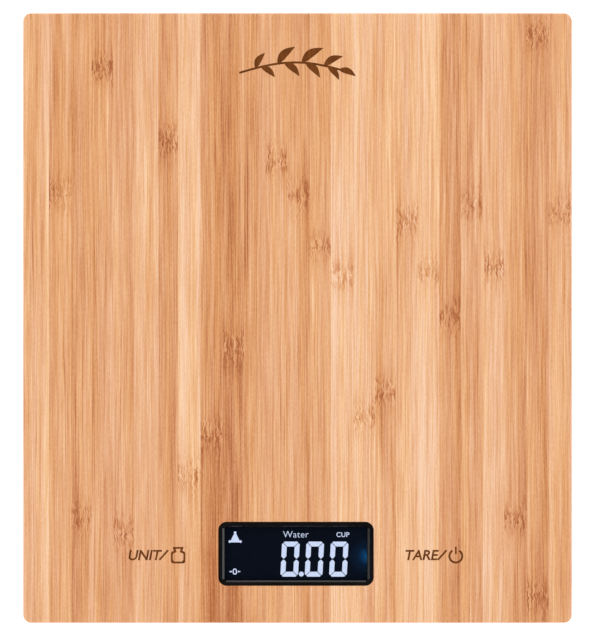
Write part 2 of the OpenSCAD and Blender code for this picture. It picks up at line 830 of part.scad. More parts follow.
// A pan-head screw along +Z, with its seat at z and a cross recess in its head
module screw(z, length, r, head_r, head_h) {
    difference() {
        union() {
            rod(head_r, z - head_h, z);
            rod(r, z - 0.1, z + length - r);
            translate([0, 0, z + length - r]) cylinder(r1 = r, r2 = 0.2, h = r);
        }
        for (a = [0, 90])
            rotate([0, 0, a]) block(1.1 * head_r, 0.28 * head_r, z - head_h - over, z - 0.4 * head_h);
    }
}

module base_screws() {
    color("silver") for (p = base_screw_at)
        translate([p[0], p[1], 0])
            screw(head_seat_z, rim_z - head_seat_z + screw_bite, screw_r, screw_head_r, screw_head_h);
}

module bracket_screws() {
    color("silver") for (c = CORNERS)
        at_corner(c) bracket_screw_places() screw(rim_z - 3, 6, bracket_screw_r, 2, 1.3);
}

module display_screws() {
    color("silver") at_display() for (p = display_screw_at)
        translate([p[0], p[1], 0]) screw(pcb_z, 3.6, display_screw_r, 1.8, 1.2);
}

// ---------- nodes ----------

bamboo_board();
base_shell();
battery_door();
battery_cell_rear();
battery_cell_front();
battery_bridge_contact();
battery_positive_contact();
battery_negative_contact();
battery_leads();
display_frame();
display_gasket();
display_lens();
display_segments();
lcd_front_glass();
lcd_rear_glass();
light_guide();
backlight_led();
lcd_holder();
zebra_strip();
main_board();
controller_chip();
converter_chip();
board_components();
unit_touch_spring();
tare_touch_spring();
foot_pad(FRONT_LEFT);  // foot_pad_front_left
foot_pad(FRONT_RIGHT);  // foot_pad_front_right
foot_pad(REAR_LEFT);  // foot_pad_rear_left
foot_pad(REAR_RIGHT);  // foot_pad_rear_right
foot_cup(FRONT_LEFT);  // foot_cup_front_left
foot_cup(FRONT_RIGHT);  // foot_cup_front_right
foot_cup(REAR_LEFT);  // foot_cup_rear_left
foot_cup(REAR_RIGHT);  // foot_cup_rear_right
gauge_tongue(FRONT_LEFT);  // gauge_tongue_front_left
gauge_tongue(FRONT_RIGHT);  // gauge_tongue_front_right
gauge_tongue(REAR_LEFT);  // gauge_tongue_rear_left
gauge_tongue(REAR_RIGHT);  // gauge_tongue_rear_right
load_cell(FRONT_LEFT);  // load_cell_front_left
load_cell(FRONT_RIGHT);  // load_cell_front_right
load_cell(REAR_LEFT);  // load_cell_rear_left
load_cell(REAR_RIGHT);  // load_cell_rear_right
cell_bracket(FRONT_LEFT);  // cell_bracket_front_left
cell_bracket(FRONT_RIGHT);  // cell_bracket_front_right
cell_bracket(REAR_LEFT);  // cell_bracket_rear_left
cell_bracket(REAR_RIGHT);  // cell_bracket_rear_right
gauge_wires(FRONT_LEFT);  // gauge_wires_front_left
gauge_wires(FRONT_RIGHT);  // gauge_wires_front_right
gauge_wires(REAR_LEFT);  // gauge_wires_rear_left
gauge_wires(REAR_RIGHT);  // gauge_wires_rear_right
base_screws();
bracket_screws();
display_screws();
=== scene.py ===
import json
from math import cos, hypot, pi, radians, sin

import bmesh
import bpy
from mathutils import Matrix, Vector


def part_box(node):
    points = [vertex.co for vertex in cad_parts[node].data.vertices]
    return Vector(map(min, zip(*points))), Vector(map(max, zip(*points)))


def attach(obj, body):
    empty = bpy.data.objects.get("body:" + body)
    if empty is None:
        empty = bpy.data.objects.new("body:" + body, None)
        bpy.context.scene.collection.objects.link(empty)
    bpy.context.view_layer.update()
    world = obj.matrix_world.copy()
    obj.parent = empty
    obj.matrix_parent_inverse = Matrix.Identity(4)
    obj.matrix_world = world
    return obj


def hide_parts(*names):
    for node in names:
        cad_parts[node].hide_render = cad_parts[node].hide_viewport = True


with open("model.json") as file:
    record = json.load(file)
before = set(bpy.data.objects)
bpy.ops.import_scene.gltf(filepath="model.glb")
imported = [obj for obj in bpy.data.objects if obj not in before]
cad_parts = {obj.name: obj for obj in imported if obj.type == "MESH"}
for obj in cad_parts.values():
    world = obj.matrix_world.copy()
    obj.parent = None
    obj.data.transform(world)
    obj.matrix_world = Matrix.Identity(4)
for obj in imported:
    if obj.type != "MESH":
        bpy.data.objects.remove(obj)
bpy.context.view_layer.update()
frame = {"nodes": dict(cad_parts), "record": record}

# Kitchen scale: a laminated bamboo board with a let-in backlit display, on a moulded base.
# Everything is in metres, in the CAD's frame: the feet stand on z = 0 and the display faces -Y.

MM = 0.001
NODES = frame["nodes"]


# ---------- places taken from the frame ----------

def middle(box):
    return (box[0] + box[1]) / 2


def top_face_box(node):
    """The box of a CAD node's highest flat face."""
    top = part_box(node)[1].z
    corners = [v.co for v in NODES[node].data.vertices if top - v.co.z < 0.01 * MM]
    return Vector(map(min, *corners)), Vector(map(max, *corners))


BOARD_LOW, BOARD_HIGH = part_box("bamboo_board")
TOP = BOARD_HIGH.z
RIM = BOARD_LOW.z
HALF_W = BOARD_HIGH.x
HALF_D = BOARD_HIGH.y
LED = middle(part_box("backlight_led"))
INK_LOW, INK_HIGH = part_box("display_segments")
FRAME_TOP = top_face_box("display_frame")


# ---------- material graphs ----------

class Graph:
    """One material's nodes. A value is a number, a colour, a vector or another node's output."""

    def __init__(self, name):
        self.material = bpy.data.materials.new(name)
        self.material.use_nodes = True
        self.tree = self.material.node_tree
        self.tree.nodes.clear()

    def feed(self, socket, value):
        if isinstance(value, bpy.types.NodeSocket):
            self.tree.links.new(value, socket)
        elif socket.type == "RGBA" and len(value) == 3:
            socket.default_value = (*value, 1)
        else:
            socket.default_value = value

    def add(self, kind, inputs, **settings):
        made = self.tree.nodes.new(kind)
        for name, value in settings.items():
            setattr(made, name, value)
        for key, value in inputs.items():
            self.feed(made.inputs[key], value)
        return made

    def place(self, stretch=(1, 1, 1)):
        """Object coordinates, stretched along each axis."""
        coords = self.add("ShaderNodeTexCoord", {}).outputs["Object"]
        return self.vector("MULTIPLY", coords, stretch)

    def vector(self, operation, *values):
        made = self.add("ShaderNodeVectorMath", dict(enumerate(values)), operation=operation)
        return made.outputs["Value" if operation in ("LENGTH", "DISTANCE") else "Vector"]

    def math(self, operation, *values):
        return self.add("ShaderNodeMath", dict(enumerate(values)), operation=operation).outputs[0]

    def split(self, vector):
        return self.add("ShaderNodeSeparateXYZ", {"Vector": vector}).outputs

    def join(self, x, y, z):
        return self.add("ShaderNodeCombineXYZ", {"X": x, "Y": y, "Z": z}).outputs[0]

    def read(self, name):
        """A vector kept on the mesh's faces."""
        return self.add("ShaderNodeAttribute", {}, attribute_name=name).outputs["Vector"]

    def noise(self, vector, scale, detail=2.0, roughness=0.5, distortion=0.0):
        inputs = {"Vector": vector, "Scale": scale, "Detail": detail,
                  "Roughness": roughness, "Distortion": distortion}
        return self.add("ShaderNodeTexNoise", inputs).outputs[0]

    def cells(self, vector, scale):
        """Distance to the nearest of many scattered points."""
        return self.add("ShaderNodeTexVoronoi", {"Vector": vector, "Scale": scale}).outputs["Distance"]

    def remap(self, value, low, high, to_low=0.0, to_high=1.0, curve="SMOOTHSTEP"):
        inputs = {"Value": value, "From Min": low, "From Max": high,
                  "To Min": to_low, "To Max": to_high}
        return self.add("ShaderNodeMapRange", inputs, interpolation_type=curve).outputs[0]

    def ramp(self, value, stops):
        """A colour for each value; stops are (position, colour)."""
        made = self.add("ShaderNodeValToRGB", {"Fac": value})
        elements = made.color_ramp.elements
        while len(elements) < len(stops):
            elements.new(1.0)
        for element, (position, colour) in zip(elements, stops):
            element.position = position
            element.color = (*colour, 1)
        return made.outputs["Color"]

    def mix(self, factor, a, b, blend="MIX"):
        made = self.add("ShaderNodeMix", {}, data_type="RGBA", blend_type=blend)
        for key, value in ((0, factor), (6, a), (7, b)):
            self.feed(made.inputs[key], value)
        return made.outputs[2]

    def bump(self, height, distance, strength=1.0):
        inputs = {"Height": height, "Distance": distance, "Strength": strength}
        return self.add("ShaderNodeBump", inputs).outputs["Normal"]

    def surface(self, **inputs):
        """The one Principled shader and the output. Input names use _ for a space."""
        named = {key.replace("_", " "): value for key, value in inputs.items()}
        shader = self.add("ShaderNodeBsdfPrincipled", named)
        self.add("ShaderNodeOutputMaterial", {"Surface": shader.outputs[0]})
        return self.material


def tinted(colour, factor):
    return tuple(min(1.0, c * factor) for c in colour)


# ---------- bamboo ----------

# Laminated strips from left to right: where each ends, in mm from the board's middle, then its tone
# at the left edge, in the middle and at the right edge (0 dark, 1 pale), then its one or two
# knuckles, in mm from the board's middle towards the rear, and how much its tone changes in front
# of the first knuckle.
FAR = 400
STRIPS = [
    (-81.5, 0.58, 0.58, 0.88, FAR, FAR, 0),
    (-74.1, 0.52, 0.50, 0.50, 40, FAR, 0),
    (-67.5, 0.30, 0.43, 0.62, -66, FAR, 0),
    (-60.4, 0.45, 0.40, 0.46, 81, FAR, 0.08),
    (-53.6, 0.55, 0.48, 0.43, -71, FAR, 0),
    (-45.6, 0.57, 0.61, 0.70, FAR, FAR, 0),
    (-39.2, 0.44, 0.40, 0.40, 57, FAR, 0),
    (-31.8, 0.75, 0.74, 0.75, -52, FAR, -0.12),
    (-24.5, 0.40, 0.35, 0.35, -39, FAR, -0.14),
    (-17.5, 0.33, 0.31, 0.50, -11, FAR, -0.14),
    (-10.7, 0.33, 0.42, 0.58, FAR, FAR, 0),
    (-3.4, 0.50, 0.48, 0.50, 51, FAR, 0.03),
    (4.0, 0.46, 0.46, 0.24, 40, FAR, 0.08),
    (10.9, 0.54, 0.50, 0.45, 23, FAR, 0.04),
    (18.4, 0.78, 0.73, 0.68, 13, FAR, 0.10),
    (25.4, 0.82, 0.73, 0.64, -33, FAR, -0.05),
    (32.3, 0.70, 0.66, 0.62, -25, FAR, -0.08),
    (39.6, 0.62, 0.70, 0.74, 31, FAR, 0),
    (46.5, 0.85, 0.79, 0.68, 14, FAR, 0),
    (53.5, 0.50, 0.42, 0.22, 0, FAR, 0),
    (60.7, 0.50, 0.47, 0.44, 36, FAR, 0.06),
    (67.8, 0.78, 0.70, 0.60, 16, FAR, 0),
    (75.1, 0.68, 0.50, 0.28, -67, FAR, 0),
    (82.3, 0.48, 0.42, 0.33, 92, -92, 0),
    (90.0, 0.55, 0.55, 0.60, 34, FAR, 0),
]

# Colours of the wood by tone, from a knuckle's dark strokes to a pale strip
BAMBOO_TONES = [
    (0.00, (0.405, 0.123, 0.040)),
    (0.25, (0.615, 0.257, 0.104)),
    (0.50, (0.740, 0.368, 0.177)),
    (0.75, (0.840, 0.486, 0.277)),
    (1.00, (0.920, 0.622, 0.418)),
]


def swing(g, value, amount):
    """A noise value turned into a change of tone, up to about half of amount each way."""
    return g.math("MULTIPLY", g.math("SUBTRACT", value, 0.5), amount)


def total(g, *values):
    made = values[0]
    for value in values[1:]:
        made = g.math("ADD", made, value)
    return made


def knuckle_reach(g, y, at, above, below):
    """1 at a knuckle's line, down to 0 at a distance above it and another below it."""
    up = g.remap(g.math("SUBTRACT", y, at), 0.0, above, 1.0, 0.0)
    down = g.remap(g.math("SUBTRACT", at, y), 0.0, below, 1.0, 0.0)
    return g.math("MULTIPLY", up, down)


def at_knuckles(g, y, knuckles, above, below):
    """Reach round either of a strip's knuckles; the two distances are in mm."""
    each = [knuckle_reach(g, y, at, above * MM, below * MM) for at in knuckles]
    return g.math("MAXIMUM", *each)


def wandering(g, x, y, seed, near):
    """x, moved a little along the fibres' length and from side to side as they pass a knuckle."""
    wander_place = g.join(g.math("MULTIPLY", x, 70), g.math("MULTIPLY", y, 22), seed)
    wander = swing(g, g.noise(wander_place, 1.0, 2.0, 0.6), 1.3 * MM)
    sway_place = g.join(g.math("MULTIPLY", x, 330), g.math("MULTIPLY", y, 520), seed)
    sway = g.noise(sway_place, 1.0, 2.0, 0.65)
    return total(g, x, wander, g.math("MULTIPLY", swing(g, sway, 1.7 * MM), near))


def fibres(g, place, across, along, detail=2.0, roughness=0.6):
    """Noise drawn out along the strips; across and along are its cells per metre."""
    stretched = g.vector("MULTIPLY", place, (across, along, across * 0.6))
    return g.noise(stretched, 1.0, detail, roughness)


def change_across(g, across, tones):
    """What a strip's edges add to its middle tone, with most of the change near them."""
    left_tone, mid_tone, right_tone = tones
    right = g.math("POWER", g.math("MAXIMUM", across, 0.0), 2.0)
    left = g.math("POWER", g.math("MAXIMUM", g.math("MULTIPLY", across, -1.0), 0.0), 2.0)
    to_right = g.math("MULTIPLY", g.math("SUBTRACT", right_tone, mid_tone), right)
    to_left = g.math("MULTIPLY", g.math("SUBTRACT", left_tone, mid_tone), left)
    return to_right, to_left


def change_along(g, place):
    """What the fibres and pores add to a strip's tone, from broad bands down to single pores."""
    broad = swing(g, fibres(g, place, 170, 9), 0.60)
    streaks = swing(g, fibres(g, place, 1100, 15, 3.0, 0.7), 0.85)
    threads = swing(g, fibres(g, place, 3300, 42, 2.0, 0.7), 1.15)
    pores = swing(g, g.noise(g.vector("MULTIPLY", place, (3800, 900, 3800)), 1.0, 1.0), 0.35)
    bright = g.remap(fibres(g, place, 1900, 12, 1.0), 0.62, 0.72, 0.0, 0.22)
    dark = g.remap(fibres(g, place, 2300, 14, 1.0), 0.36, 0.27, 0.0, -0.22)
    return broad, streaks, threads, pores, bright, dark


def knuckle_strokes(g, bent_x, y, seed, across, core, near):
    """Dark and pale strokes in a knuckle, densest towards the strip's edges."""
    sides = g.remap(g.math("ABSOLUTE", across), 0.0, 0.9, 0.8, 1.0)
    stroke_place = g.join(g.math("MULTIPLY", bent_x, 1650), g.math("MULTIPLY", y, 260), seed)
    stroke = g.noise(stroke_place, 1.0, 3.0, 0.7, 0.3)
    strength = total(g, g.math("MULTIPLY", core, 0.75), g.math("MULTIPLY", near, 0.25))
    own_draw = g.noise(g.join(g.math("MULTIPLY", seed, 3.1), 0.0, 0.0), 1.0)
    vigour = g.remap(own_draw, 0.35, 0.65, 0.6, 1.15)
    weight = g.math("MULTIPLY", g.math("MULTIPLY", strength, sides), vigour)
    return g.math("MULTIPLY", g.math("SUBTRACT", g.remap(stroke, 0.36, 0.62), 0.75), weight)


def end_grain(g, x, own_z, place, mid_tone):
    """Cut ends, with the fibre bundles as dark points."""
    dots = g.cells(g.vector("MULTIPLY", g.join(x, 0.0, own_z), (1900, 1, 1900)), 1.0)
    dotted = g.remap(dots, 0.15, 0.45, -0.30, 0.0)
    cloudy = swing(g, g.noise(g.vector("MULTIPLY", place, (700, 1, 500)), 1.0, 2.0), 0.5)
    end_tone = total(g, g.math("MULTIPLY", mid_tone, 0.8), dotted, cloudy)
    return g.ramp(end_tone, BAMBOO_TONES)


def bamboo():
    """The board's wood, with the tone and knuckles that each strip's faces carry."""
    g = Graph("bamboo")
    x, y, z = g.split(g.place())
    mid, half, seed = g.split(g.read("strip_place"))
    left_tone, mid_tone, right_tone = g.split(g.read("strip_tone"))
    first, second, beyond = g.split(g.read("strip_knuckles"))
    knuckles = (first, second)
    own_z = g.math("ADD", z, g.math("MULTIPLY", seed, 0.1))
    near = at_knuckles(g, y, knuckles, 14, 12)
    core = at_knuckles(g, y, knuckles, 8.5, 5.5)
    bent_x = wandering(g, x, y, seed, near)
    place = g.join(bent_x, y, own_z)
    across = g.math("DIVIDE", g.math("SUBTRACT", x, mid), half)

    to_right, to_left = change_across(g, across, (left_tone, mid_tone, right_tone))
    in_front = g.remap(g.math("SUBTRACT", first, y), -3 * MM, 6 * MM)
    front_tone = g.math("MULTIPLY", beyond, in_front)
    tone = total(g, mid_tone, to_right, to_left, front_tone, *change_along(g, place))

    stroke = knuckle_strokes(g, bent_x, y, seed, across, core, near)
    line = g.math("MULTIPLY", at_knuckles(g, y, knuckles, 0.5, 0.35), -0.06)
    shade = g.math("MULTIPLY", near, -0.08)
    tone = total(g, tone, g.math("MULTIPLY", stroke, 0.75), line, shade)

    wood = g.ramp(tone, BAMBOO_TONES)
    blush = g.remap(fibres(g, place, 420, 9), 0.38, 0.62)
    wood = g.mix(blush, g.mix(1.0, wood, (1.0, 0.975, 0.87), "MULTIPLY"),
                 g.mix(1.0, wood, (0.985, 0.975, 1.00), "MULTIPLY"))
    is_end = g.split(g.read("strip_end"))[0]
    height = g.math("ADD", fibres(g, place, 3600, 40), g.math("MULTIPLY", stroke, 0.8))
    return g.surface(
        Base_Color=g.mix(is_end, wood, end_grain(g, x, own_z, place, mid_tone)),
        Roughness=g.remap(fibres(g, place, 900, 9), 0.3, 0.7, 0.42, 0.56),
        Specular_IOR_Level=0.35,
        Normal=g.bump(height, 0.02 * MM, 0.5),
    )


def burnt():
    """The scorched bottom of an engraved mark."""
    g = Graph("burnt_bamboo")
    char = g.noise(g.place((900, 220, 900)), 1.0, 3.0, 0.6)
    colour = g.ramp(char, [(0.25, (0.100, 0.026, 0.004)), (0.75, (0.220, 0.066, 0.012))])
    return g.surface(
        Base_Color=colour,
        Roughness=g.remap(char, 0.3, 0.7, 0.75, 0.92),
        Specular_IOR_Level=0.1,
        Normal=g.bump(char, 0.05 * MM, 0.5),
    )


# ---------- plastics, rubber, glass and metals ----------

def moulded(name, colour, spread=0.15, roughness=0.5, grain=2600, depth=0.015, stretch=(1, 1, 1), **more):
    """A plain stuff with a fine grain, cloudy colour and uneven sheen. depth is in mm."""
    g = Graph(name)
    fine = g.noise(g.place(tuple(grain * s for s in stretch)), 1.0, 2.0, 0.6)
    cloud = g.noise(g.place(tuple(120 * s for s in stretch)), 1.0, 3.0, 0.55)
    blend = g.math("ADD", g.math("MULTIPLY", fine, 0.5), g.math("MULTIPLY", cloud, 0.5))
    shade = g.ramp(blend, [(0.3, tinted(colour, 1 - spread)), (0.7, tinted(colour, 1 + spread))])
    return g.surface(
        Base_Color=shade,
        Roughness=g.remap(cloud, 0.3, 0.7, roughness - 0.03, roughness + 0.03),
        Normal=g.bump(fine, depth * MM, 0.6),
        **more,
    )


def lcd_glass():
    """Dark display glass, with the backlight's glow spreading from its end."""
    g = Graph("display_glass")
    away = g.vector("DISTANCE", g.place((1, 1, 0)), (LED.x + 0.5 * MM, LED.y - 1.0 * MM, 0))
    uneven = swing(g, g.noise(g.place((500, 500, 500)), 1.0, 2.0), 1.2 * MM)
    glow = g.ramp(g.math("MULTIPLY", g.math("ADD", away, uneven), 1 / (12 * MM)), [
        (0.00, (0.006, 0.110, 0.300)),
        (0.12, (0.003, 0.050, 0.150)),
        (0.26, (0.0006, 0.010, 0.032)),
        (0.50, (0.0, 0.0016, 0.0055)),
        (1.00, (0.0, 0.0004, 0.0016)),
    ])
    return g.surface(
        Base_Color=(0.003, 0.005, 0.010),
        Roughness=0.08,
        Specular_IOR_Level=0.25,
        Emission_Color=glow,
        Emission_Strength=0.8,
    )


def lit_segment():
    """A clear segment with the backlight behind it, a little brighter in some places."""
    g = Graph("lit_segment")
    mottle = g.noise(g.place((1300, 1300, 1300)), 1.0, 2.0, 0.6)
    light = g.ramp(mottle, [(0.3, (0.56, 0.68, 0.97)), (0.7, (0.72, 0.80, 1.0))])
    return g.surface(
        Base_Color=(0.02, 0.02, 0.03),
        Roughness=0.4,
        Emission_Color=light,
        Emission_Strength=1.2,
    )


def lens():
    """Smoked clear window."""
    g = Graph("smoked_lens")
    smear = g.noise(g.place((160, 160, 160)), 1.0, 3.0)
    tint = g.ramp(smear, [(0.3, (0.004, 0.006, 0.012)), (0.7, (0.006, 0.009, 0.016))])
    return g.surface(
        Base_Color=tint,
        Roughness=g.remap(smear, 0.3, 0.7, 0.03, 0.09),
        IOR=1.49,
        Alpha=0.12,
    )


def circuit_board():
    """Green solder mask over copper tracks, with the laminate's weave."""
    g = Graph("circuit_board")
    place = g.place((420, 420, 0))
    tracks = g.add("ShaderNodeTexBrick", {"Vector": place, "Scale": 1.0, "Mortar Size": 0.06,
                                          "Brick Width": 2.4, "Row Height": 0.6}).outputs["Fac"]
    weave = g.noise(g.place((1800, 1800, 1800)), 1.0, 1.0)
    mask = g.ramp(weave, [(0.3, (0.008, 0.075, 0.024)), (0.7, (0.014, 0.120, 0.040))])
    return g.surface(
        Base_Color=g.mix(tracks, mask, (0.03, 0.19, 0.06)),
        Roughness=g.remap(weave, 0.3, 0.7, 0.25, 0.38),
        Normal=g.bump(tracks, 0.03 * MM, 0.5),
    )


def zebra():
    """Thin dark and pale layers side by side along the strip."""
    g = Graph("layered_rubber")
    x = g.split(g.place())[0]
    layer = g.math("FRACT", g.math("MULTIPLY", x, 1 / (0.5 * MM)))
    colour = g.ramp(layer, [(0.45, (0.03, 0.03, 0.03)), (0.55, (0.55, 0.30, 0.28))])
    return g.surface(Base_Color=colour, Roughness=0.6, Normal=g.bump(layer, 0.01 * MM, 0.4))


def cell_jacket():
    """Green jacket with a dark band and bare metal at each end."""
    g = Graph("cell_jacket")
    low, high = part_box("battery_cell_rear")
    length = high.x - low.x
    x = g.split(g.place())[0]
    along = g.math("DIVIDE", g.math("ABSOLUTE", x), length / 2)
    fine = g.noise(g.place((60, 900, 900)), 1.0, 2.0)
    jacket = g.ramp(fine, [(0.3, (0.018, 0.10, 0.045)), (0.7, (0.026, 0.135, 0.062))])
    band = g.mix(g.remap(along, 0.60, 0.61), jacket, (0.02, 0.02, 0.022))
    steel = g.remap(along, 0.955, 0.96)
    return g.surface(
        Base_Color=g.mix(steel, band, (0.62, 0.61, 0.58)),
        Metallic=steel,
        Roughness=g.remap(fine, 0.3, 0.7, 0.24, 0.34),
        Coat_Weight=0.3,
    )


def finishes():
    """A material for each of the record's slots."""
    return {
        "bamboo": bamboo(),
        "black_abs": moulded("black_moulding", (0.011, 0.011, 0.012), roughness=0.52, depth=0.03,
                             Specular_IOR_Level=0.35),
        "frame_plastic": moulded("display_moulding", (0.004, 0.003, 0.003), roughness=0.26, depth=0.004,
                                 Specular_IOR_Level=0.4),
        "lens": lens(),
        "lcd_glass": lcd_glass(),
        "lit_segment": lit_segment(),
        "light_guide": moulded("light_guide", (0.10, 0.16, 0.40), roughness=0.2, depth=0.004,
                               Emission_Color=(0.02, 0.10, 0.40, 1), Emission_Strength=0.6),
        "led": moulded("backlight_emitter", (0.60, 0.75, 1.00), roughness=0.3, depth=0.004,
                       Emission_Color=(0.25, 0.55, 1.0, 1), Emission_Strength=2.0),
        "foam": moulded("foam", (0.030, 0.030, 0.030), 0.4, 0.9, 3200, 0.08),
        "white_plastic": moulded("white_moulding", (0.72, 0.71, 0.67), 0.05, 0.45),
        "zebra": zebra(),
        "circuit_board": circuit_board(),
        "chip_resin": moulded("chip_resin", (0.018, 0.018, 0.019), 0.2, 0.6, 3000, 0.01),
        "component": moulded("component", (0.42, 0.30, 0.18), 0.35, 0.4, 700, 0.01),
        "plated_steel": moulded("plated_steel", (0.62, 0.62, 0.60), 0.08, 0.28, 900, 0.004,
                                (1, 0.15, 1), Metallic=1.0),
        "spring_steel": moulded("spring_steel", (0.55, 0.54, 0.52), 0.1, 0.25, 1500, 0.003, Metallic=1.0),
        "zinc_screw": moulded("zinc_screw", (0.66, 0.67, 0.68), 0.1, 0.32, 1500, 0.004, Metallic=1.0),
        "red_wire": moulded("wire_sleeve", (0.45, 0.018, 0.014), 0.12, 0.4, 900, 0.006),
        "cell_jacket": cell_jacket(),
        "grey_rubber": moulded("foot_rubber", (0.115, 0.115, 0.118), 0.14, 0.8, 1500, 0.03),
    }


FINISH = finishes()
BURNT = burnt()


def slot_of(node):
    """The record's slot for a CAD node."""
    for part in frame["record"]["subparts"]:
        if part["node"] == node:
            return part["material_slot"]
    raise KeyError(node)


# ---------- mesh helpers ----------

# Points nearer to each other than this, in metres, are one point
WELD = 1e-6

def piece(name, mesh, materials, body="root"):
    """A new visible piece that rides on a body."""
    made = bpy.data.objects.new(name, mesh)
    bpy.context.scene.collection.objects.link(made)
    for material in materials:
        mesh.materials.append(material)
    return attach(made, body)


def mesh_from(bm, name):
    bmesh.ops.recalc_face_normals(bm, faces=bm.faces)
    mesh = bpy.data.meshes.new(name)
    bm.to_mesh(mesh)
    bm.free()
    return mesh


def smooth(made, angle=35):
    """Smooth shading that keeps flat faces flat and edges over this angle sharp."""
    made.data.shade_smooth()
    made.data.set_sharp_from_angle(angle=radians(angle))
    weigh = made.modifiers.new("flat_faces", "WEIGHTED_NORMAL")
    weigh.keep_sharp = True
    weigh.weight = 100
    return made


def rounded_rect(w, d, r, steps=10):
    """Points round a rectangle with round corners, anticlockwise, about the origin."""
    points = []
    for quarter, (sx, sy) in enumerate(((1, 1), (-1, 1), (-1, -1), (1, -1))):
        for k in range(steps + 1):
            angle = (quarter + k / steps) * pi / 2
            points.append((sx * (w / 2 - r) + r * cos(angle), sy * (d / 2 - r) + r * sin(angle)))
    return points


def loft(bm, rings):
    """A closed solid through rings of points, each the same number long, from bottom to top."""
    rows = [[bm.verts.new(p) for p in ring] for ring in rings]
    for low, high in zip(rows, rows[1:]):
        for k in range(len(low)):
            m = (k + 1) % len(low)
            bm.faces.new((low[k], low[m], high[m], high[k]))
    bm.faces.new(reversed(rows[0]))
    bm.faces.new(rows[-1])


def prism(bm, outline, low, high):
    """A straight-sided solid over one outline, given anticlockwise."""
    loft(bm, [[(x, y, z) for x, y in outline] for z in (low, high)])


def loose_boxes(node):
    """The box of each separate solid in a CAD node."""
    bm = bmesh.new()
    bm.from_mesh(NODES[node].data)
    bmesh.ops.remove_doubles(bm, verts=bm.verts, dist=WELD)
    left = set(bm.verts)
    boxes = []
    while left:
        island, edge = set(), [next(iter(left))]
        while edge:
            vert = edge.pop()
            if vert not in island:
                island.add(vert)
                edge.extend(e.other_vert(vert) for e in vert.link_edges)
        left -= island
        corners = [v.co for v in island]
        boxes.append((Vector(map(min, *corners)), Vector(map(max, *corners))))
    bm.free()
    return sorted(boxes, key=lambda b: (round(b[0].x, 4), round(b[0].y, 4)))


def cut(made, cutter):
    """Takes the cutter mesh out of a piece; the new faces keep the cutter's material."""
    tool = bpy.data.objects.new("cutter", cutter)
    bpy.context.scene.collection.objects.link(tool)
    step = made.modifiers.new("cut", "BOOLEAN")
    step.operation = "DIFFERENCE"
    step.solver = "EXACT"
    step.material_mode = "TRANSFER"
    step.use_self = True
    step.object = tool
    bpy.context.view_layer.update()
    shaped = made.evaluated_get(bpy.context.evaluated_depsgraph_get())
    old, made.data = made.data, bpy.data.meshes.new_from_object(shaped)
    made.modifiers.remove(step)
    bpy.data.objects.remove(tool)
    bpy.data.meshes.remove(cutter)
    bpy.data.meshes.remove(old)


# A moulding's faces that meet at less than the first angle are one face, and edges over the second
# are rounded; both in degrees
FLAT_UNDER = 0.5
SHARP_OVER = 30


def soften(node, width, body):
    """Replaces a CAD moulding with the same shape, its edges rounded over as a mould leaves them."""
    bm = bmesh.new()
    bm.from_mesh(NODES[node].data)
    bmesh.ops.remove_doubles(bm, verts=bm.verts, dist=WELD)
    bmesh.ops.dissolve_limit(bm, angle_limit=radians(FLAT_UNDER), verts=bm.verts, edges=bm.edges)
    sharp = [e for e in bm.edges if e.is_manifold and e.calc_face_angle(0) > radians(SHARP_OVER)]
    bmesh.ops.bevel(bm, geom=sharp, offset=width, segments=2, profile=0.5,
                    affect="EDGES", clamp_overlap=True)
    made = piece(f"{node}_moulding", mesh_from(bm, node), [FINISH[slot_of(node)]], body)
    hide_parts(node)
    return smooth(made)


# ---------- burnt marks ----------

STROKE = 0.68 * MM
# Slashes and the power sign's bar are a little thinner than the other strokes
THIN_STROKE = STROKE * 0.9
LETTER_SIZE = 4.65 * MM
LETTER_WEIGHT = 0.10 * MM
LETTER_LEAN = 0.19
LETTER_GAP = 0.98
# The line that the two touch keys' words stand on
MARK_BASE = -79.3 * MM
# Each key's word and where it starts, and where its slash starts
KEY_WORDS = [("UNIT", -55.8 * MM), ("TARE", 34.9 * MM)]
SLASHES = [-45.3 * MM, 46.0 * MM]
SLASH_WIDTH = 2.9 * MM
SLASH_HEIGHT = 3.2 * MM
WEIGHT_SIGN = (-39.15 * MM, -77.75 * MM)
POWER_SIGN = (51.9 * MM, -78.05 * MM)
# How deep a mark is burnt in, how far its cutter stands out of the board, and how much deeper the
# twig's stem goes than its leaves, so that no two floors coincide
BURN_DEPTH = 0.12 * MM
CUTTER_ABOVE = 0.3 * MM
STEM_DEEPER = 0.02 * MM


def ribbon(bm, points, width, low, high):
    """A stroke of one width along points."""
    left, right = [], []
    for i, (x, y) in enumerate(points):
        x0, y0 = points[max(i - 1, 0)]
        x1, y1 = points[min(i + 1, len(points) - 1)]
        run = hypot(x1 - x0, y1 - y0)
        nx, ny = -(y1 - y0) / run * width / 2, (x1 - x0) / run * width / 2
        left.append((x + nx, y + ny))
        right.append((x - nx, y - ny))
    prism(bm, right + left[::-1], low, high)


def rounded_loop(corners, reaches, steps=4):
    """A closed path through corners given in mm, each turned on an arc-like curve of its own reach."""
    points = []
    for k, (corner, reach) in enumerate(zip(corners, reaches)):
        before, at, after = Vector(corners[k - 1]), Vector(corner), Vector(corners[(k + 1) % len(corners)])
        start = at + (before - at).normalized() * reach
        end = at + (after - at).normalized() * reach
        for i in range(steps + 1):
            t = i / steps
            points.append((1 - t) ** 2 * start + 2 * t * (1 - t) * at + t * t * end)
    return points


def widened(corners, by):
    """The corners of an anticlockwise loop after each of its sides moves outwards."""
    moved = []
    for k, corner in enumerate(corners):
        before, at, after = Vector(corners[k - 1]), Vector(corner), Vector(corners[(k + 1) % len(corners)])
        a, b = (at - before).normalized(), (after - at).normalized()
        a, b = Vector((a.y, -a.x)), Vector((b.y, -b.x))
        moved.append(at + (a + b) * by / (1 + a.dot(b)))
    return moved


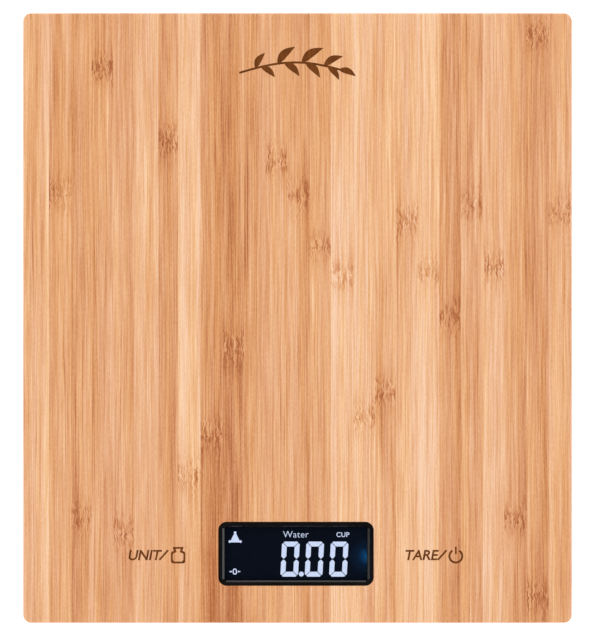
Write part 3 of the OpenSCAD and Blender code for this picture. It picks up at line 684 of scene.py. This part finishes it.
def band(bm, outer, inner, low, high):
    """A flat ring between two outlines with as many points each."""
    levels = ((outer, low), (outer, high), (inner, high), (inner, low))
    rows = [[bm.verts.new((x, y, z)) for x, y in outline] for outline, z in levels]
    for a, b in zip(rows, rows[1:] + rows[:1]):
        for k in range(len(a)):
            m = (k + 1) % len(a)
            bm.faces.new((a[k], a[m], b[m], b[k]))


def placed(points, centre):
    """Points in mm moved to a centre in metres."""
    return [(centre[0] + x * MM, centre[1] + y * MM) for x, y in points]


def letters(text, start, size, low, high, lean, gap, weight):
    """A bmesh of plain sans letters from a starting point, standing between two heights."""
    curve = bpy.data.curves.new("letters", "FONT")
    curve.body = text
    curve.size = size
    curve.shear = lean
    curve.space_character = gap
    curve.offset = weight
    curve.extrude = (high - low) / 2
    curve.resolution_u = 5
    holder = bpy.data.objects.new("letters", curve)
    bpy.context.scene.collection.objects.link(holder)
    bpy.context.view_layer.update()
    shaped = holder.evaluated_get(bpy.context.evaluated_depsgraph_get())
    mesh = bpy.data.meshes.new_from_object(shaped)
    bpy.data.objects.remove(holder)
    bm = bmesh.new()
    bm.from_mesh(mesh)
    bpy.data.meshes.remove(mesh)
    bmesh.ops.translate(bm, vec=(*start, (low + high) / 2), verts=bm.verts)
    bmesh.ops.remove_doubles(bm, verts=bm.verts, dist=WELD)
    return bm


def merge(bm, other):
    """Adds another bmesh's solids to bm."""
    mesh = bpy.data.meshes.new("part")
    other.to_mesh(mesh)
    other.free()
    bm.from_mesh(mesh)
    bpy.data.meshes.remove(mesh)


# The right-hand half of the weight sign's outline, from its foot up: each corner's place, in mm from
# the sign's middle, and how far from the corner its curve starts
JAR = [(2.05, -2.4, 0.9), (2.05, 0.9, 0.6), (0.85, 1.15, 0.45), (1.45, 2.4, 0.6)]


def weight_sign(bm, centre, low, high):
    """A jar-shaped weight, as a closed outline."""
    corners = [(x, y) for x, y, _ in JAR] + [(-x, y) for x, y, _ in JAR[::-1]]
    reaches = [reach for _, _, reach in JAR + JAR[::-1]]
    half = THIN_STROKE / 2 / MM
    outer, inner = (rounded_loop(widened(corners, by), reaches) for by in (half, -half))
    band(bm, placed(outer, centre), placed(inner, centre), low, high)


def power_sign(bm, centre, low, high):
    """A ring open at the top, with a bar in the gap. Angles are in degrees and lengths in mm."""
    gap, radius, steps = 32, 2.1, 40
    bar_top, bar_foot = 3.1, 0.6
    arc = []
    for k in range(steps + 1):
        turn = radians(90 + gap + (360 - 2 * gap) * k / steps)
        arc.append((radius * cos(turn), radius * sin(turn)))
    ribbon(bm, placed(arc, centre), STROKE, low, high)
    ribbon(bm, placed([(0, bar_top), (0, bar_foot)], centre), THIN_STROKE, low, high)


def leaf(bm, root, turn, length, width, low, high, steps=12):
    """A pointed leaf from its root, turned from +X, slightly curved and widest nearer its root."""
    sides = []
    for side in (-1, 1):
        edge = []
        for k in range(steps + 1):
            t = k / steps
            bow = 0.10 * length * sin(pi * t)
            edge.append((t * length, bow + side * width / 2 * sin(pi * t ** 0.8) ** 0.9))
        sides.append(edge)
    outline = sides[0] + sides[1][-2:0:-1]
    c, s = cos(turn), sin(turn)
    prism(bm, [(root[0] + x * c - y * s, root[1] + x * s + y * c) for x, y in outline], low, high)


def stem_point(t):
    """The twig's stem, in mm from its middle, for t from 0 to 1."""
    return -18.5 + 33 * t, -3.2 + 3.4 * sin(pi * t * 0.9)


# Leaves of the twig: how far along the stem, degrees from +X, length and width in mm
LEAVES = [
    (0.16, 58, 6.0, 2.1), (0.22, -38, 5.6, 2.0), (0.38, 44, 8.0, 2.6), (0.45, -42, 6.6, 2.3),
    (0.62, 34, 8.6, 2.7), (0.66, -46, 6.8, 2.3), (0.84, 26, 7.0, 2.3), (0.88, -50, 5.8, 2.0),
    (0.99, -22, 6.0, 2.1),
]
STEM_WIDTH = 0.7 * MM
STEM_STEPS = 24
TWIG = (-0.6 * MM, 83.6 * MM)


def twig_leaf(bm, row, low, high):
    """One leaf of the twig, from a row of LEAVES."""
    along, turn, length, width = row
    root = placed([stem_point(along)], TWIG)[0]
    leaf(bm, root, radians(turn), length * MM, width * MM, low, high)


def twig_stem(bm, low, high):
    stem = placed([stem_point(k / STEM_STEPS) for k in range(STEM_STEPS + 1)], TWIG)
    ribbon(bm, stem, STEM_WIDTH, low, high)


def mark_parts():
    """Each burnt mark, leaf and stem as its own closed cutter."""
    low, high = TOP - BURN_DEPTH, TOP + CUTTER_ABOVE
    parts = []

    def fresh():
        parts.append(bmesh.new())
        return parts[-1]

    for text, x in KEY_WORDS:
        parts.append(letters(text, (x, MARK_BASE), LETTER_SIZE, low, high,
                             LETTER_LEAN, LETTER_GAP, LETTER_WEIGHT))
    for x in SLASHES:
        ribbon(fresh(), [(x, MARK_BASE), (x + SLASH_WIDTH, MARK_BASE + SLASH_HEIGHT)],
               THIN_STROKE, low, high)
    weight_sign(fresh(), WEIGHT_SIGN, low, high)
    power_sign(fresh(), POWER_SIGN, low, high)
    for row in LEAVES:
        twig_leaf(fresh(), row, low, high)
    twig_stem(fresh(), low - STEM_DEEPER, high)
    return parts


# ---------- board ----------

# The rounding of the board's top edge, the two-step bevel of its lower edge, and the rounding of the
# corners seen from above
EDGE = 0.7 * MM
LOWER_EDGE = 0.4 * MM
LOWER_EDGE_HALFWAY = 0.12 * MM
CORNER = 2.5 * MM
# The gap round the display frame, in the board
WINDOW_GAP = 0.1 * MM
WINDOW_CORNER = 2.8 * MM
# The hollow over the battery bay: its margin beyond the contacts, which is its corner's radius too,
# how much longer it is than the cells' spread from front to rear, and its depth
POCKET_MARGIN = 3 * MM
POCKET_ROOM = 7.4 * MM
POCKET_DEPTH = 1.7 * MM
# Pilot holes: their radius for each set of screws, and the room past a screw's tip
PILOT_RADIUS = {"base_screws": 1.52 * MM, "bracket_screws": 1.12 * MM}
PILOT_ROOM = 0.2 * MM
PILOT_SIDES = 24


def edge_profile():
    """(inset, height) of the board's side, from its underside to its top."""
    rows = [(LOWER_EDGE, RIM), (LOWER_EDGE_HALFWAY, RIM + LOWER_EDGE_HALFWAY), (0, RIM + LOWER_EDGE)]
    steps = 5
    for k in range(steps + 1):
        turn = pi / 2 * k / steps
        rows.append((EDGE * (1 - cos(turn)), TOP - EDGE * (1 - sin(turn))))
    return rows


def board_blank():
    bm = bmesh.new()
    rings = []
    for inset, z in edge_profile():
        outline = rounded_rect(2 * (HALF_W - inset), 2 * (HALF_D - inset), CORNER - inset)
        rings.append([(x, y, z) for x, y in outline])
    loft(bm, rings)
    for strip in STRIPS[:-1]:
        everything = [*bm.verts, *bm.edges, *bm.faces]
        bmesh.ops.bisect_plane(bm, geom=everything, plane_co=(strip[0] * MM, 0, 0), plane_no=(1, 0, 0))
    return mesh_from(bm, "bamboo_top")


def display_window(bm, over):
    size = FRAME_TOP[1] - FRAME_TOP[0]
    at = middle(FRAME_TOP)
    window = rounded_rect(size.x + 2 * WINDOW_GAP, size.y + 2 * WINDOW_GAP, WINDOW_CORNER)
    prism(bm, [(x + at.x, y + at.y) for x, y in window], RIM - over, TOP + over)


def battery_pocket(bm, over):
    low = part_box("battery_cell_front")[0]
    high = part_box("battery_cell_rear")[1]
    bay_end = -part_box("battery_bridge_contact")[0].x
    width = 2 * (bay_end + POCKET_MARGIN)
    pocket = rounded_rect(width, high.y - low.y + POCKET_ROOM, POCKET_MARGIN)
    centre = middle((low, high))
    prism(bm, [(x, y + centre.y) for x, y in pocket], RIM - over, RIM + POCKET_DEPTH)


def pilot_hole(bm, at, radius, over, tip):
    turns = [2 * pi * k / PILOT_SIDES for k in range(PILOT_SIDES)]
    hole = [(at.x + radius * cos(turn), at.y + radius * sin(turn)) for turn in turns]
    prism(bm, hole, RIM - over, tip)


def board_openings():
    """The display window, the battery pocket and the screws' pilot holes."""
    bm = bmesh.new()
    over = 1 * MM
    display_window(bm, over)
    battery_pocket(bm, over)
    for node, radius in PILOT_RADIUS.items():
        for lowest, highest in loose_boxes(node):
            pilot_hole(bm, middle((lowest, highest)), radius, over, highest.z + PILOT_ROOM)
    return mesh_from(bm, "openings")


# How far apart the strips' draws of noise are, and how squarely a face must look along Y, or up or
# down, to count as an end or as flat
SEED_STEP = 1.7
END_FACING = 0.8
FLAT_FACING = 0.999


def strip_facts(face):
    """What the bamboo material reads about one face, by attribute name."""
    x = face.center.x / MM
    n = max([i for i in range(1, len(STRIPS)) if STRIPS[i - 1][0] <= x], default=0)
    left = STRIPS[n - 1][0] if n else -HALF_W / MM
    right, at_left, in_middle, at_right, first, second, beyond = STRIPS[n]
    return {
        "strip_place": ((left + right) / 2 * MM, (right - left) / 2 * MM, SEED_STEP * n),
        "strip_tone": (at_left, in_middle, at_right),
        "strip_knuckles": (first * MM, second * MM, beyond),
        "strip_end": (1 if abs(face.normal.y) > END_FACING else 0, 0, 0),
    }


def label_strips(mesh):
    """Writes each face's strip to the mesh, for the bamboo material to read."""
    facts = [strip_facts(face) for face in mesh.polygons]
    for name in facts[0]:
        written = mesh.attributes.new(name, "FLOAT_VECTOR", "FACE")
        written.data.foreach_set("vector", [number for fact in facts for number in fact[name]])


def make_board():
    """The bamboo board with its openings and burnt marks; its flat faces are shaded flat."""
    board = piece("bamboo_top", board_blank(), [FINISH["bamboo"]])
    cut(board, board_openings())
    for bm in mark_parts():
        cutter = mesh_from(bm, "mark")
        cutter.materials.append(BURNT)
        cut(board, cutter)
    label_strips(board.data)
    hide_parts("bamboo_board")
    smooth(board)
    for face in board.data.polygons:
        face.use_smooth = abs(face.normal.z) < FLAT_FACING


# ---------- display ----------

# Each lit word, where it starts, its letters' size, their spacing as a share of the usual one, and how
# much their strokes are thickened; lengths are in mm
LIT_WORDS = [
    ("Water", (-4.8, -72.1), 3.1, 1.03, -0.03),
    ("CUP", (12.7, -71.9), 2.2, 1.04, 0.02),
]


def make_display_words():
    """The mode and unit words, lit like the digits."""
    bm = bmesh.new()
    for text, (x, y), size, gap, weight in LIT_WORDS:
        start = (x * MM, y * MM)
        merge(bm, letters(text, start, size * MM, INK_LOW.z, INK_HIGH.z, 0.0, gap, weight * MM))
    piece("display_words", mesh_from(bm, "display_words"), [FINISH["lit_segment"]])


# ---------- the rest of the scale ----------

def dress_nodes():
    """Gives every CAD node the material of its slot."""
    for name, node in NODES.items():
        material = FINISH[slot_of(name)]
        if not node.data.materials:
            node.data.materials.append(material)
        for place in node.material_slots:
            place.material = material


def body_of(node):
    for body, members in frame["record"]["behaviour"]["bodies"].items():
        if node in members:
            return body
    return "root"


# Mouldings with rounded edges: the node's name or its beginning, and the edge's width in mm
SOFTENED = [("display_frame", 0.10), ("base_shell", 0.20), ("battery_door", 0.15),
            ("foot_cup", 0.20), ("foot_pad", 0.30)]


def soften_mouldings():
    for start, width in SOFTENED:
        for name in sorted(NODES):
            if name.startswith(start):
                soften(name, width * MM, body_of(name))


# ---------- studio ----------

# The camera's lens and sensor in mm, and how much of the board's plane its width takes in
CAMERA_LENS = 200
SENSOR = 36
FIELD = 194.1 * MM
CAMERA_AT = (-0.5 * MM, -1.3 * MM)
CAMERA_REACH = 20


def make_camera():
    """Straight above the board, from far off."""
    data = bpy.data.cameras.new("camera")
    data.lens = CAMERA_LENS
    data.sensor_width = SENSOR
    data.sensor_fit = "HORIZONTAL"
    camera = bpy.data.objects.new("camera", data)
    camera.location = (*CAMERA_AT, TOP + FIELD * CAMERA_LENS / SENSOR)
    data.clip_end = CAMERA_REACH
    bpy.context.scene.collection.objects.link(camera)
    bpy.context.scene.camera = camera


# How far the floor lies under the feet, so that the two faces don't coincide
FLOOR_DROP = 0.1 * MM
FLOOR_RADIUS = 6


def make_floor():
    """A plain white floor that stays white under the object, and is clear from below."""
    bm = bmesh.new()
    bmesh.ops.create_circle(bm, cap_ends=True, segments=96, radius=FLOOR_RADIUS)
    floor = bpy.data.objects.new("floor", mesh_from(bm, "floor"))
    floor.location.z = -FLOOR_DROP
    bpy.context.scene.collection.objects.link(floor)
    g = Graph("floor")
    speck = g.noise(g.place((40, 40, 40)), 1.0, 2.0)
    from_below = g.add("ShaderNodeNewGeometry", {}).outputs["Backfacing"]
    floor.data.materials.append(g.surface(
        Base_Color=g.ramp(speck, [(0.3, (0.88, 0.88, 0.88)), (0.7, (0.90, 0.90, 0.90))]),
        Roughness=0.9,
        Emission_Color=(1, 1, 1, 1),
        Emission_Strength=0.6,
        Alpha=g.math("SUBTRACT", 1.0, from_below),
    ))


# The soft light's strength all round and in the opening overhead, and how many degrees from straight
# up the opening ends and is at its darkest
SKY_LIGHT = 0.74
OPENING_LIGHT = 0.02
OPENING_END = 32
OPENING_DARKEST = 16


def make_world():
    """Soft light from all round, with a dark opening straight above, where the camera hangs."""
    world = bpy.data.worlds.new("studio")
    bpy.context.scene.world = world
    world.use_nodes = True
    nodes, links = world.node_tree.nodes, world.node_tree.links
    coords = nodes.new("ShaderNodeTexCoord")
    split = nodes.new("ShaderNodeSeparateXYZ")
    opening = nodes.new("ShaderNodeMapRange")
    links.new(coords.outputs["Generated"], split.inputs[0])
    links.new(split.outputs["Z"], opening.inputs["Value"])
    opening.interpolation_type = "SMOOTHSTEP"
    opening.inputs["From Min"].default_value = cos(radians(OPENING_END))
    opening.inputs["From Max"].default_value = cos(radians(OPENING_DARKEST))
    opening.inputs["To Min"].default_value = SKY_LIGHT
    opening.inputs["To Max"].default_value = OPENING_LIGHT
    links.new(opening.outputs[0], nodes["Background"].inputs["Strength"])
    nodes["Background"].inputs["Color"].default_value = (1, 1, 1, 1)


# Softboxes: place and size in metres, and power in watts
SOFTBOXES = [
    ((-1.3, -0.7, 1.3), 0.9, 11.5),
    ((1.4, -0.2, 1.2), 0.9, 7.5),
    ((0.2, 1.5, 1.3), 1.1, 10.0),
]


def make_lights():
    for n, (place, size, power) in enumerate(SOFTBOXES):
        data = bpy.data.lights.new(f"softbox_{n}", "AREA")
        data.size = size
        data.energy = power
        lamp = bpy.data.objects.new(f"softbox_{n}", data)
        lamp.location = place
        lamp.rotation_euler = (-Vector(place)).to_track_quat("-Z", "Y").to_euler()
        bpy.context.scene.collection.objects.link(lamp)


make_camera()
dress_nodes()
make_board()
make_display_words()
soften_mouldings()
make_floor()
make_world()
make_lights()
bpy.context.scene.view_settings.view_transform = "Standard"

bpy.context.view_layer.update()
